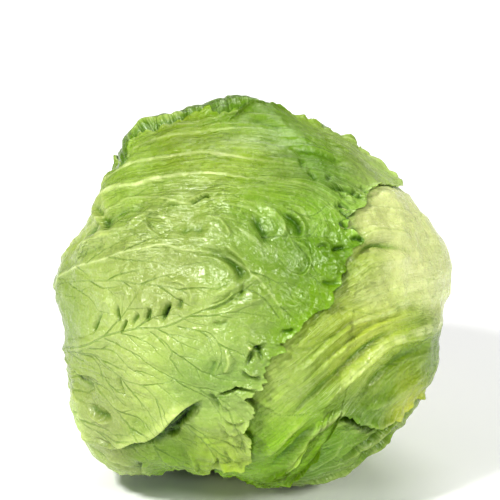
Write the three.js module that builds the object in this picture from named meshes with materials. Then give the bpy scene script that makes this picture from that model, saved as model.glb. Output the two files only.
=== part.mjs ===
// A head of crisphead lettuce, resting on its side on a flat surface.
//
// A short cut stem carries every leaf. Six wrapper leaves overlap around the
// outside, six cupped leaves sit inside them in a spiral, and the tightly
// folded middle of the head is one solid heart around the stem's core.
//
// Units are millimetres, +Z is up. The head is described in a face frame: x to
// the right, y up the face, z out of the face along the stem's axis. The stem
// points the other way, backwards and a little downwards.
//
// A place on the head is a direction from its centre. face(x, y) gives it as
// degrees to the right and up from the middle of the face; around(turn, away)
// gives it as a turn about the stem's axis and degrees away from the face.

import * as THREE from "three";

// The whole head
const HEAD_RADIUS = 82;
const HEAD_DEPTH_RADIUS = 78; // along the stem's axis
const CENTRE_HEIGHT = 75.6; // less than the radius, so that the head rests on a flat patch
const FACE_TILT = 22; // degrees that the face looks up

// The leaves
const LEAF_THICKNESS = 1.2;
const LAYER_PITCH = 3.2; // from one leaf's outside to the outside of the leaf under it
const STEP_DOWN_START = 14; // degrees past a leaf's edge where the leaf under it starts to rise
const STEP_DOWN_END = 40;

// The inside of the head
const INNER_LEAVES = 6;
const INNER_DEPTH = 15; // from the head's outside to the outermost inner leaf
const INNER_LOBES = 0.6; // how much of the head's swellings the inner leaves follow
const INNER_REACH = 74; // degrees that an inner leaf spreads from its middle
const INNER_MIDDLE_AWAY = 72; // degrees from the face to an inner leaf's middle
const LEAF_TURN = 137.5; // degrees from each inner leaf to the next around the stem

// The stem and the heart around it
const STEM_RADIUS = 12.5;
const STEM_END = 79; // from the head's centre to the cut
const STEM_BEVEL = 1.5;
const STEM_STRAIGHT = 60; // from the head's centre to where the stem starts to taper
const HEART_RADIUS = 40;
const CORE_RADIUS = 9.5; // where the stem enters the heart
const CORE_TIP = 8; // from the head's centre to the core's tip
const CORE_TIP_RADIUS = 3;
const CORE_GAP = 0.5;

// How finely the pieces are faceted
const WRAPPER_FACET = 11; // degrees
const INNER_FACET = 17;
const ROUND_SEGMENTS = 20;

const radians = THREE.MathUtils.degToRad;
const degrees = THREE.MathUtils.radToDeg;
const smoothstep = THREE.MathUtils.smoothstep;

// Broad swellings and hollows of the head: where they are, how wide, how high.
const LOBES = [
  { at: around(125, 84), width: 20, height: 5 }, // left shoulder of the crown
  { at: around(93, 80), width: 11, height: 4 }, // crown
  { at: around(72, 82), width: 11, height: -3 }, // dip to the right of the crown
  { at: around(50, 80), width: 26, height: -5 }, // flat slope below the dip
  { at: around(151, 86), width: 15, height: -8 }, // hollow under the left shoulder
  { at: around(176, 82), width: 14, height: 3 }, // left cheek
  { at: around(190, 86), width: 12, height: -4 }, // hollow under the left cheek
  { at: around(225, 82), width: 19, height: 12 }, // bulge low on the left
  { at: around(258, 86), width: 14, height: -11 }, // hollow beside the bulge
  { at: around(294, 84), width: 18, height: 2 }, // low on the right
  { at: around(335, 84), width: 16, height: 3 }, // right cheek
  { at: around(350, 86), width: 11, height: -3 }, // hollow over the right cheek
  { at: around(13, 84), width: 11, height: 4 }, // right shoulder
];

const WRAPPERS = [
  {
    name: "wrapper_leaf_left",
    colour: "#9cc455",
    middle: face(-38, -2),
    outline: [
      face(30, 17), face(36, 32), face(58, 46), face(62, 60), face(38, 78),
      face(10, 80), face(-12, 76), face(-38, 74), around(134, 90),
      around(134, 112), around(132, 135), around(124, 155), around(116, 165),
      around(148, 166), around(180, 166), around(212, 166), around(244, 165),
      around(236, 155), around(229, 135), around(227, 114), around(231, 97),
      face(-40, -78), face(-14, -74), face(-1, -60), face(0, -44),
      face(4, -26), face(11, -12), face(24, 0),
    ],
  },
  {
    name: "wrapper_leaf_right",
    colour: "#c2d382",
    middle: face(32, 6),
    outline: [
      face(-6, 34), face(-16, 4), face(-24, -22), face(-22, -44),
      face(-16, -60), face(-8, -73), face(8, -58), face(25, -42),
      face(44, -42), face(64, -46), around(-38, 100), around(-44, 125),
      around(-52, 150), around(-62, 165), around(-30, 166), around(0, 166),
      around(30, 166), around(66, 165), around(60, 145), around(56, 120),
      around(54, 95), face(40, 70), face(10, 58),
    ],
  },
  {
    name: "wrapper_leaf_lower",
    onFloor: true,
    colour: "#86ad45",
    middle: around(-64, 76),
    outline: [
      face(-16, -44), face(-24, -72), around(-104, 102), around(-103, 125),
      around(-106, 150), around(-114, 165), around(-82, 166),
      around(-50, 166), around(-20, 165), around(-14, 150), around(-9, 125),
      around(-6, 100), around(-8, 78), face(38, -16), face(8, -26),
    ],
  },
  {
    name: "wrapper_leaf_top",
    colour: "#93bb4e",
    middle: around(106, 80),
    outline: [
      around(52, 84), around(58, 102), around(62, 125), around(60, 150),
      around(54, 165), around(76, 166), around(102, 166), around(130, 166),
      around(161, 165), around(157, 150), around(159, 125), around(161, 100),
      around(158, 78), face(-42, 28), face(0, 28), face(38, 38),
    ],
  },
  {
    name: "wrapper_leaf_underneath",
    colour: "#7ea342",
    middle: around(-128, 84),
    outline: [
      face(8, -46), face(-20, -30), face(-58, -24), around(190, 88),
      around(191, 118), around(194, 150), around(190, 165), around(214, 166),
      around(236, 166), around(256, 165), around(259, 150), around(263, 125),
      around(266, 100), around(270, 82),
    ],
  },
  {
    name: "wrapper_leaf_behind",
    colour: "#a6c766",
    middle: around(42, 84),
    outline: [
      face(18, 22), face(58, 0), around(-6, 95), around(-9, 125),
      around(-11, 150), around(-6, 165), around(20, 166), around(54, 166),
      around(90, 165), around(86, 150), around(88, 125), around(92, 98),
      face(4, 62),
    ],
  },
];

// A direction from degrees to the right and up from the middle of the face.
function face(right, up) {
  const away = Math.hypot(right, up);
  return around(degrees(Math.atan2(up, right)), away);
}

// A direction from a turn about the stem's axis, 0 to the right and 90 up, and
// degrees away from the middle of the face.
function around(turn, away) {
  const out = Math.sin(radians(away));
  return new THREE.Vector3(
    out * Math.cos(radians(turn)),
    out * Math.sin(radians(turn)),
    Math.cos(radians(away)),
  );
}

// The distance from the head's centre to its outside in a direction, with a
// share of the swellings and hollows.
function headRadius(direction, lobeShare) {
  const across = Math.hypot(direction.x, direction.y) / HEAD_RADIUS;
  const along = direction.z / HEAD_DEPTH_RADIUS;
  let radius = 1 / Math.hypot(across, along);
  for (const lobe of LOBES) {
    const apart = degrees(direction.angleTo(lobe.at)) / lobe.width;
    radius += lobeShare * lobe.height * Math.exp(-apart * apart);
  }
  return radius;
}

// From the face frame to the frame of the part, about the head's centre.
function toPart(vector) {
  return vector.clone().applyAxisAngle(
    new THREE.Vector3(1, 0, 0),
    radians(90 - FACE_TILT),
  );
}

// A point at a depth under the head's outside, flattened where it would come
// lower than the floor of its layer.
function headPoint(direction, depth, floor, lobeShare) {
  const radius = headRadius(direction, lobeShare) - depth;
  const point = toPart(direction).multiplyScalar(radius);
  point.z = Math.max(point.z + CENTRE_HEIGHT, floor);
  return point;
}

// A leaf's own polar frame: degrees from its middle, and a turn about it.
function leafFrame(middle) {
  const side = new THREE.Vector3(0, 0, 1).cross(middle).normalize();
  const up = middle.clone().cross(side);
  return { middle, side, up };
}

function polar(frame, direction) {
  return {
    reach: degrees(direction.angleTo(frame.middle)),
    turn: Math.atan2(direction.dot(frame.up), direction.dot(frame.side)),
  };
}

function fromPolar(frame, reach, turn) {
  const out = Math.sin(radians(reach));
  return frame.middle.clone().multiplyScalar(Math.cos(radians(reach)))
    .addScaledVector(frame.side, out * Math.cos(turn))
    .addScaledVector(frame.up, out * Math.sin(turn));
}

// Evenly spaced places along a leaf's edge, in the leaf's own polar frame.
function edgeOf(leaf, count) {
  const places = leaf.curve.getSpacedPoints(count).slice(0, count);
  return places.map((place) => polar(leaf.frame, place.normalize()));
}

// How far a leaf's edge is from its middle at a turn about it.
function reachAt(leaf, turn) {
  const edge = leaf.fineEdge;
  const next = edge.findIndex((place) => place.turn > turn);
  const b = edge[next < 0 ? 0 : next];
  const a = edge[(next < 0 ? edge.length : next || edge.length) - 1];
  const full = 2 * Math.PI;
  const span = (b.turn - a.turn + full) % full;
  const part = ((turn - a.turn + full) % full) / span;
  return THREE.MathUtils.lerp(a.reach, b.reach, Math.min(part, 1));
}

// 1 where a leaf covers a place, falling to 0 a little past its edge.
function cover(leaf, direction) {
  const place = polar(leaf.frame, direction);
  const past = place.reach - reachAt(leaf, place.turn);
  return 1 - smoothstep(past, STEP_DOWN_START, STEP_DOWN_END);
}

// A closed thin solid: an outer and an inner skin joined along the leaf's edge.
function leafGeometry(leaf, facet, lobeShare, layerAt) {
  const spokes = Math.round(degrees(leaf.curve.getLength()) / facet);
  const edge = edgeOf(leaf, spokes);
  const rings = Math.round(Math.max(...edge.map((place) => place.reach)) / facet);
  const positions = [];
  const skin = (inside) => {
    const add = (direction) => {
      const { depth, floor } = layerAt(direction);
      positions.push(...headPoint(direction, depth + inside, floor + inside, lobeShare));
    };
    add(leaf.frame.middle);
    for (let ring = 1; ring <= rings; ring++) {
      for (const place of edge) {
        add(fromPolar(leaf.frame, (place.reach * ring) / rings, place.turn));
      }
    }
  };
  skin(0);
  skin(LEAF_THICKNESS);

  const skinSize = 1 + rings * spokes;
  const faces = [];
  const at = (ring, spoke) => 1 + (ring - 1) * spokes + (spoke % spokes);
  const addBoth = (a, b, c) => {
    faces.push(a, b, c, skinSize + a, skinSize + c, skinSize + b);
  };
  for (let spoke = 0; spoke < spokes; spoke++) {
    addBoth(0, at(1, spoke), at(1, spoke + 1));
    for (let ring = 1; ring < rings; ring++) {
      addBoth(at(ring, spoke), at(ring + 1, spoke), at(ring + 1, spoke + 1));
      addBoth(at(ring, spoke), at(ring + 1, spoke + 1), at(ring, spoke + 1));
    }
    const a = at(rings, spoke);
    const b = at(rings, spoke + 1);
    faces.push(a, skinSize + a, skinSize + b, a, skinSize + b, b);
  }
  const geometry = new THREE.BufferGeometry();
  geometry.setAttribute("position", new THREE.Float32BufferAttribute(positions, 3));
  geometry.setIndex(faces);
  geometry.computeVertexNormals();
  return geometry;
}

// Works out a leaf's frame and its edge from its middle and its outline, which
// has to run the way that turns grow in the leaf's own frame.
function prepare(leaf) {
  leaf.frame = leafFrame(leaf.middle);
  leaf.curve = new THREE.CatmullRomCurve3(leaf.outline, true);
  leaf.fineEdge = edgeOf(leaf, 240).sort((a, b) => a.turn - b.turn);
  return leaf;
}

// An inner leaf is a round cup: it starts around the stem, spreads to both
// sides and folds over the middle of the face.
function innerLeaf(index) {
  const turn = LEAF_TURN * index;
  const frame = leafFrame(around(turn, INNER_MIDDLE_AWAY));
  const rim = [];
  for (let step = -6; step <= 6; step++) {
    const wave = 1 + 0.05 * Math.sin(3 * step + index);
    rim.push(fromPolar(frame, INNER_REACH * wave, toFace(frame) + radians(step * 20)));
  }
  const base = [[-54, 140], [-28, 164], [0, 164], [28, 164], [54, 140]].map(
    ([side, away]) => around(turn + side, away),
  );
  return prepare({
    name: "inner_leaf_" + (index + 1),
    colour: new THREE.Color("#c6d78a").lerp(new THREE.Color("#ece9b4"), index / INNER_LEAVES),
    middle: frame.middle,
    outline: [...rim, ...base],
  });
}

// The turn, in a leaf's own frame, that points at the middle of the face.
function toFace(frame) {
  return polar(frame, new THREE.Vector3(0, 0, 1)).turn;
}

function leafMesh(leaf, geometry) {
  const material = new THREE.MeshStandardMaterial({
    color: leaf.colour,
    roughness: 0.45,
    metalness: 0,
  });
  const mesh = new THREE.Mesh(geometry, material);
  mesh.name = leaf.name;
  return mesh;
}

// A round piece about the stem's axis, placed at the head's centre. Its profile
// is a list of [radius, distance along the axis towards the face].
function roundMesh(name, colour, profile) {
  const points = profile.map(([radius, along]) => new THREE.Vector2(radius, along));
  const geometry = new THREE.LatheGeometry(points, ROUND_SEGMENTS);
  const mesh = leafMesh({ name, colour }, geometry);
  mesh.rotation.x = radians(180 - FACE_TILT);
  mesh.position.z = CENTRE_HEIGHT;
  return mesh;
}

function heartProfile() {
  const mouth = CORE_RADIUS + CORE_GAP;
  const start = Math.asin(mouth / HEART_RADIUS);
  const profile = [
    [0, CORE_GAP - CORE_TIP],
    [CORE_TIP_RADIUS + CORE_GAP, CORE_GAP - CORE_TIP],
  ];
  const steps = 12;
  for (let step = 0; step <= steps; step++) {
    const angle = start + ((Math.PI - start) * step) / steps;
    profile.push([
      step === steps ? 0 : HEART_RADIUS * Math.sin(angle),
      -HEART_RADIUS * Math.cos(angle),
    ]);
  }
  return profile;
}

const head = new THREE.Group();

const wrappers = WRAPPERS.map(prepare);
wrappers.forEach((leaf, index) => {
  const outside = wrappers.slice(0, index);
  const layerAt = (direction) => {
    const layer = { depth: 0, floor: 0 };
    for (const other of outside) {
      const step = LAYER_PITCH * cover(other, direction);
      layer.depth += step;
      if (other.onFloor) layer.floor += step;
    }
    return layer;
  };
  head.add(leafMesh(leaf, leafGeometry(leaf, WRAPPER_FACET, 1, layerAt)));
});

for (let index = 0; index < INNER_LEAVES; index++) {
  const leaf = innerLeaf(index);
  const layerAt = () => ({ depth: INNER_DEPTH + index * LAYER_PITCH, floor: 0 });
  head.add(leafMesh(leaf, leafGeometry(leaf, INNER_FACET, INNER_LOBES, layerAt)));
}

head.add(roundMesh("heart", "#eeeab6", heartProfile()));
head.add(roundMesh("stem", "#e3dcc0", [
  [0, -STEM_END],
  [STEM_RADIUS - STEM_BEVEL, -STEM_END],
  [STEM_RADIUS, STEM_BEVEL - STEM_END],
  [STEM_RADIUS, -STEM_STRAIGHT],
  [CORE_RADIUS, -HEART_RADIUS],
  [CORE_TIP_RADIUS, -CORE_TIP],
  [0, -CORE_TIP],
]));

// The part's origin is under the middle of its box, on the surface it rests on.
const middle = new THREE.Box3().setFromObject(head, true).getCenter(new THREE.Vector3());
head.position.set(-middle.x, -middle.y, 0);

export default head;
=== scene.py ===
import math

import bpy
import numpy as np
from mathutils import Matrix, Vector


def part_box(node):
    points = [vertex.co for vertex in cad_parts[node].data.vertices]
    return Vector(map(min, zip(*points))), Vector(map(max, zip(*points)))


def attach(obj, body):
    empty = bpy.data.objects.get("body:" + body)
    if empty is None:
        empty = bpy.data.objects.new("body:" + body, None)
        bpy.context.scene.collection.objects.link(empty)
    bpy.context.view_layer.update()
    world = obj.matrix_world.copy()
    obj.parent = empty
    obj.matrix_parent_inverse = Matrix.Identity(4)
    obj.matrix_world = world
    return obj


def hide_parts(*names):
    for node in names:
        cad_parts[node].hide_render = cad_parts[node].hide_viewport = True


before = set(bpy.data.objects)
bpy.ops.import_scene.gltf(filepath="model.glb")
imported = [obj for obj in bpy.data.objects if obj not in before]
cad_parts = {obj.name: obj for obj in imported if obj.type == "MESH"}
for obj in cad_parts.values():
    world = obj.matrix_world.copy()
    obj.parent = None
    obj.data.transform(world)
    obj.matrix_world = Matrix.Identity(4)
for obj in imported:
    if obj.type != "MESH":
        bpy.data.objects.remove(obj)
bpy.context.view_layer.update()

# Lengths are millimetres until a mesh is made, and angles are degrees.
# A place on the head is a direction from its centre, in the face frame: x to the
# right, y up the face, z out of the face along the stem's axis.
HEAD_RADIUS = 82.0
HEAD_DEPTH_RADIUS = 78.0
FACE_TILT = math.radians(22)
CENTRE = np.mean([list(corner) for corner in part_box("heart")], axis=0) * 1000
RIGHT = np.array([1.0, 0.0, 0.0])
UP = np.array([0.0, math.sin(FACE_TILT), math.cos(FACE_TILT)])
OUT = np.array([0.0, -math.cos(FACE_TILT), math.sin(FACE_TILT)])
AXES = np.array([RIGHT, UP, OUT])

STEP = 0.2  # degrees between the samples of a leaf's relief
BLADE = 0.8  # thickness of a leaf
EDGE_BLADE = 0.4  # and at its margin
RIB_BLADE = 0.6  # what a main vein adds to it
FLOOR_GAP = 0.25  # between the head's lowest points and the floor
FLOOR_SOFTNESS = 0.6  # square millimetres: how gently the head flattens there


def around(turn, away):
    """The direction that is so far round the stem's axis and so far away from it."""
    t, a = np.radians(turn), np.radians(away)
    return np.stack([np.sin(a) * np.cos(t), np.sin(a) * np.sin(t), np.cos(a)], -1)


def face(x, y):
    """The direction that is so many degrees right and up from the middle of the face."""
    return around(np.degrees(np.arctan2(y, x)), np.hypot(x, y))


def on_face(d):
    """Degrees to the right and up from the middle of the face."""
    away = np.degrees(np.arccos(np.clip(d[..., 2], -1, 1)))
    flat = np.maximum(np.hypot(d[..., 0], d[..., 1]), 1e-9)
    return away * d[..., 0] / flat, away * d[..., 1] / flat


def unit(v):
    return v / np.linalg.norm(v, axis=-1, keepdims=True)


def smoothstep(a, b, x):
    t = np.clip((x - a) / (b - a), 0, 1)
    return t * t * (3 - 2 * t)


def noise(points, seed):
    """Smooth noise from -1 to 1 at each point of an array of three columns."""
    cell = np.floor(points).astype(np.int64)
    part = points - cell
    part = part * part * (3 - 2 * part)
    total = 0
    for corner in range(8):
        bit = np.array([corner & 1, corner >> 1 & 1, corner >> 2 & 1])
        c = cell + bit
        h = c[..., 0] * 374761393 + c[..., 1] * 668265263 + c[..., 2] * 1440662683
        h = (h + seed * 974634777) & 0xFFFFFFFF
        h = ((h ^ (h >> 13)) * 1274126177) & 0xFFFFFFFF
        value = ((h ^ (h >> 16)) & 0xFFFF) / 32767.5 - 1
        weight = np.prod(np.where(bit, part, 1 - part), axis=-1)
        total = total + weight * value
    return total


def spline(points, per=8, closed=False):
    """A smooth curve through the points."""
    p = np.asarray(points, float)
    if closed:
        p = np.concatenate([p[-1:], p, p[:2]])
    else:
        p = np.concatenate([2 * p[:1] - p[1:2], p, 2 * p[-1:] - p[-2:-1]])
    t = np.linspace(0, 1, per, endpoint=False)[:, None]
    out = []
    for a, b, c, d in zip(p, p[1:], p[2:], p[3:]):
        out.append(0.5 * (2 * b + (c - a) * t + (2 * a - 5 * b + 4 * c - d) * t * t
                          + (3 * b - a - 3 * c + d) * t ** 3))
    if not closed:
        out.append(p[-2:-1])
    return np.concatenate(out)


# Broad swellings and hollows of the head: turn, away, width, height
LOBES = [
    (125, 84, 20, 5), (93, 80, 11, 4), (72, 82, 11, -3), (50, 80, 26, -5), (151, 86, 15, -8),
    (176, 82, 14, 3), (190, 86, 12, -4), (225, 82, 19, 12), (258, 86, 14, -11), (294, 84, 18, 2),
    (335, 84, 16, 3), (350, 86, 11, -3), (13, 84, 11, 4),
]


def head_radius(d):
    radius = 1 / np.hypot(np.hypot(d[..., 0], d[..., 1]) / HEAD_RADIUS, d[..., 2] / HEAD_DEPTH_RADIUS)
    for turn, away, width, height in LOBES:
        apart = np.degrees(np.arccos(np.clip(d @ around(turn, away), -1, 1)))
        radius = radius + height * np.exp(-(apart / width) ** 2)
    return radius


class Leaf:
    """A leaf's own sheet: degrees about its middle, with layers of relief."""

    def __init__(self, name, middle, outline, rings, spokes, seed):
        self.name, self.rings, self.spokes = name, rings, spokes
        self.rng = np.random.default_rng(seed)
        self.seed = seed
        self.middle = unit(middle)
        self.side = unit(np.cross([0, 0, 1], self.middle))
        self.up = np.cross(self.middle, self.side)
        curve = unit(spline(outline, 24, closed=True))
        x, y = self.local(curve)
        turn, reach = np.arctan2(y, x), np.hypot(x, y)
        bins = 1440
        index = np.floor((turn / (2 * math.pi) % 1) * bins).astype(int) % bins
        edge = np.full(bins, -1.0)
        np.maximum.at(edge, index, reach)
        known = np.nonzero(edge > 0)[0]
        self.turns = (np.arange(bins) + 0.5) / bins * 2 * math.pi
        self.edge = np.interp(np.arange(bins), known, edge[known], period=bins)
        self.extent = self.edge.max() + 4
        n = int(2 * self.extent / STEP) + 1
        self.grid = np.linspace(-self.extent, self.extent, n)
        self.layers = {
            "relief": np.zeros((n, n), np.float32),
            "rib": np.zeros((n, n), np.float32),
            "vein": np.full((n, n), 9, np.float32),
            "near": np.full((n, n), 9, np.float32),
            "ink": np.zeros((n, n), np.float32),
        }
        self.parents = []
        self.labelled = []
        self.calm = lambda x, y: 0.4
        self.pleats = 1.0

    def local(self, d):
        reach = np.degrees(np.arccos(np.clip(d @ self.middle, -1, 1)))
        a, b = d @ self.side, d @ self.up
        flat = np.maximum(np.hypot(a, b), 1e-9)
        return reach * a / flat, reach * b / flat

    def direction(self, x, y):
        reach = np.radians(np.hypot(x, y))
        turn = np.arctan2(y, x)
        return (np.cos(reach)[..., None] * self.middle
                + (np.sin(reach) * np.cos(turn))[..., None] * self.side
                + (np.sin(reach) * np.sin(turn))[..., None] * self.up)

    def past_edge(self, x, y):
        turn = np.arctan2(y, x) % (2 * math.pi)
        return np.hypot(x, y) - np.interp(turn, self.turns, self.edge, period=2 * math.pi)

    def sample(self, layer, x, y):
        field = self.layers[layer]
        n = len(self.grid)
        u = np.clip((x + self.extent) / STEP, 0, n - 1.001)
        v = np.clip((y + self.extent) / STEP, 0, n - 1.001)
        i, j = u.astype(int), v.astype(int)
        a, b = u - i, v - j
        return ((field[j, i] * (1 - a) + field[j, i + 1] * a) * (1 - b)
                + (field[j + 1, i] * (1 - a) + field[j + 1, i + 1] * a) * b)

    def window(self, low, high, pad):
        i0, j0 = [max(0, int((v - pad + self.extent) / STEP)) for v in low]
        i1, j1 = [min(len(self.grid), int((v + pad + self.extent) / STEP) + 2) for v in high]
        return slice(j0, j1), slice(i0, i1)

    def along(self, path, pad):
        """For the samples within pad of a path: how far, which side, how far along."""
        box = self.window(path.min(0), path.max(0), pad)
        shape = (box[0].stop - box[0].start, box[1].stop - box[1].start)
        best = np.full(shape, 99.0)
        where, side = np.zeros(shape), np.zeros(shape)
        steps = np.linalg.norm(np.diff(path, axis=0), axis=1)
        total, done = steps.sum(), 0.0
        for a, b, length in zip(path, path[1:], steps):
            if length < 1e-6:
                continue
            part = self.window(np.minimum(a, b), np.maximum(a, b), pad)
            gx, gy = np.meshgrid(self.grid[part[1]], self.grid[part[0]])
            if gx.size:
                s = (b - a) / length
                t = np.clip((gx - a[0]) * s[0] + (gy - a[1]) * s[1], 0, length)
                ex, ey = gx - a[0] - s[0] * t, gy - a[1] - s[1] * t
                r = np.maximum(np.hypot(gx, gy), 1e-6)
                radial = (ex * gx + ey * gy) / r
                shrink = np.sin(np.radians(np.minimum(r, 178))) / np.radians(r)
                across = (gx * ey - gy * ex) / r * shrink
                far = np.hypot(radial, across)
                inner = (slice(part[0].start - box[0].start, part[0].stop - box[0].start),
                         slice(part[1].start - box[1].start, part[1].stop - box[1].start))
                closer = far < best[inner]
                best[inner] = np.where(closer, far, best[inner])
                where[inner] = np.where(closer, (done + t) / total, where[inner])
                side[inner] = np.where(closer, np.sign(s[0] * ey - s[1] * ex), side[inner])
            done += length
        return box, best, where, side

    def path(self, points, per=6):
        """A smooth path on the sheet through points (right, up), or (turn, away, 0) further back."""
        directions = [face(*p) if len(p) == 2 else around(*p[:2]) for p in points]
        x, y = self.local(unit(spline(directions, per)))
        return np.stack([x, y], -1)

    def stroke(self, points, left, right, ends=0.3, blend=0.5):
        """Raises the sheet along a path. left and right are (height, width).

        It fades over a share of its length at both ends, and the two sides blend within
        so many degrees of the path.
        """
        path = self.path(points)
        box, far, where, side = self.along(path, 2.4 * max(left[1], right[1]))
        taper = smoothstep(0, ends, where) * smoothstep(0, ends, 1 - where)
        lefts = left[0] * np.exp(-(far / left[1]) ** 2)
        rights = right[0] * np.exp(-(far / right[1]) ** 2)
        mix = smoothstep(-blend, blend, far * side)
        self.layers["relief"][box] += 1.35 * taper * (rights + (lefts - rights) * mix)

    def rib(self, points, width, height, pale=1.0, ends=0.0, ink=0.6):
        """A raised main vein. width is (at its start, at its end), and ink is how dark it is drawn.

        Below 0 it is drawn pale. A vein that starts at the stem also says how the leaf's
        tissue runs.
        """
        path = self.path(points)
        box, far, where, _ = self.along(path, 2.4 * max(width))
        w = width[0] + (width[1] - width[0]) * where
        fade = smoothstep(0, 0.3, 1 - where) * (smoothstep(0, ends, where) if ends else 1)
        shape = np.exp(-(far / w) ** 2) * fade
        self.layers["relief"][box] += height * shape * (w / width[0])
        self.layers["rib"][box] = np.maximum(self.layers["rib"][box], pale * shape)
        self.vein(path, 0.3, 0.24, ink, 0.3)
        self.parents.append(path)
        if len(points[0]) == 3:
            self.labelled.append((path, points[0][0]))

    def vein(self, path, start, end, ink, fade=0.0):
        box, far, where, _ = self.along(path, 2.0)
        line = far / (start + (end - start) * where)
        closer = line < self.layers["vein"][box]
        ink = ink * (1 - fade * where)
        self.layers["vein"][box] = np.where(closer, line, self.layers["vein"][box])
        self.layers["ink"][box] = np.where(closer, ink, self.layers["ink"][box])
        self.layers["near"][box] = np.minimum(self.layers["near"][box], far)

    def settle(self):
        """Works out how the tissue runs between the labelled veins, and the hollows."""
        places = np.concatenate([path[::5] for path, _ in self.labelled])
        values = np.concatenate([np.full(len(path[::5]), label) for path, label in self.labelled])
        scale = 60.0

        def kernel(a, b):
            r = np.linalg.norm(a[:, None] - b[None], axis=2) / scale
            return r * r * np.log(np.maximum(r, 1e-6))

        n = len(places)
        plain = np.concatenate([np.ones((n, 1)), places / scale], 1)
        stiff = kernel(places, places) + 0.02 * np.eye(n)
        system = np.block([[stiff, plain], [plain.T, np.zeros((3, 3))]])
        weights = np.linalg.solve(system, np.concatenate([values, np.zeros(3)]))
        coarse = np.linspace(-self.extent, self.extent, 61)
        x, y = np.meshgrid(coarse, coarse)
        at = np.stack([x.ravel(), y.ravel()], -1)
        field = np.concatenate([kernel(at, places), np.ones((len(at), 1)), at / scale], 1) @ weights
        self.coarse, self.run = coarse, field.reshape(x.shape)
        relief = self.layers["relief"]
        self.layers["hollow"] = relief - blur(relief, 3.0)

    def flow(self, x, y):
        """Across and along the tissue: a turn about the stem, and degrees from the base."""
        u = np.clip((x + self.extent) / (self.coarse[1] - self.coarse[0]), 0, len(self.coarse) - 1.001)
        v = np.clip((y + self.extent) / (self.coarse[1] - self.coarse[0]), 0, len(self.coarse) - 1.001)
        i, j = u.astype(int), v.astype(int)
        a, b = u - i, v - j
        f = self.run
        across = ((f[j, i] * (1 - a) + f[j, i + 1] * a) * (1 - b)
                  + (f[j + 1, i] * (1 - a) + f[j + 1, i + 1] * a) * b)
        base = around(np.mean([label for _, label in self.labelled]), 160)
        along = np.degrees(np.arccos(np.clip(self.direction(x, y) @ base, -1, 1)))
        return across, along

    def grow(self, spacing, levels):
        """Branches fine veins off the main ones until the blade is full of them."""
        mids = np.concatenate([(p[1:] + p[:-1]) / 2 for p in self.parents])
        flows = unit(np.concatenate([np.diff(p, axis=0) for p in self.parents]) + 1e-9)
        rng = self.rng
        queue = [(p, 0) for p in self.parents]
        while queue:
            path, level = queue.pop(0)
            if level >= levels:
                continue
            gap = spacing * (1, 0.8, 0.7)[level]
            arc = np.concatenate([[0], np.cumsum(np.linalg.norm(np.diff(path, axis=0), axis=1))])
            at, hand = rng.uniform(0.3, 1) * gap, rng.choice([-1, 1])
            while at < arc[-1]:
                k = min(int(np.searchsorted(arc, at)), len(path) - 1)
                p = path[k].copy()
                heading = unit(path[k] - path[k - 1])
                place = on_face(self.direction(p[0], p[1]))
                calm = self.calm(*place)
                if rng.random() < 0.5 * calm:
                    at += gap * rng.uniform(0.7, 1.3)
                    continue
                angle = math.radians((rng.uniform(22, 34) + 12 * level) * (1 - 0.65 * calm)) * hand
                c, s = math.cos(angle), math.sin(angle)
                heading = np.array([c * heading[0] - s * heading[1], s * heading[0] + c * heading[1]])
                branch, turning = [p.copy()], rng.normal(0, 0.04)
                for step in range(int(rng.uniform(14, 26) / (1 + level))):
                    pull = 1 / (np.sum((mids - p) ** 2, axis=1) + 9)
                    flow = unit((flows * pull[:, None]).sum(0) + 1e-9)
                    turning = 0.75 * turning + rng.normal(0, 0.035)
                    heading = unit(heading + 0.07 * flow + turning * np.array([-heading[1], heading[0]]))
                    p = p + heading * 1.1
                    if self.past_edge(p[0], p[1]) > -0.6:
                        break
                    if step > 1 and self.sample("near", p[0], p[1]) < 0.9:
                        break
                    branch.append(p.copy())
                if len(branch) > 3:
                    smooth = np.array(branch)
                    smooth[1:-1] = (smooth[:-2] + 2 * smooth[1:-1] + smooth[2:]) / 4
                    width = (0.24, 0.2, 0.17)[level]
                    ink = (0.85, 0.5, 0.3)[level] * (1 - 0.5 * calm)
                    self.vein(smooth, width, width * 0.75, ink, 0.8)
                    queue.append((smooth, level + 1))
                at += gap * rng.uniform(0.7, 1.3)
                hand = -hand


def blur(field, reach):
    """The mean of a field within about so many degrees."""
    n = int(reach / STEP)
    for _ in range(2):
        for axis in (0, 1):
            padded = np.concatenate([np.repeat(np.take(field, [0], axis), n + 1, axis), field,
                                     np.repeat(np.take(field, [-1], axis), n, axis)], axis)
            total = np.cumsum(padded, axis, dtype=np.float64)
            size = field.shape[axis]
            high = np.take(total, np.arange(2 * n + 1, 2 * n + 1 + size), axis)
            low = np.take(total, np.arange(size), axis)
            field = (high - low) / (2 * n + 1)
    return field


def colour(r, g, b, sheen=0.0):
    """An sRGB colour from 0 to 255 as the linear one that materials use.

    Sheen is the white that the surface's gloss adds to it.
    """
    c = np.array([r, g, b]) / 255
    return np.maximum(np.where(c <= 0.04045, c / 12.92, ((c + 0.055) / 1.055) ** 2.4) - sheen, 0.002)


def blend_colours(spots, x, y, width):
    """Colours of the nearby spots, given as lists of (right, up) under a green's name."""
    total, weight = 0, 0
    for green, places in spots.items():
        for right, up in places:
            w = np.exp(-((x - right) ** 2 + (y - up) ** 2) / width ** 2) + 1e-7
            total = total + w[..., None] * colour(*GREENS[green], SHEEN)
            weight = weight + w
    return total / weight[..., None]


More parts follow.
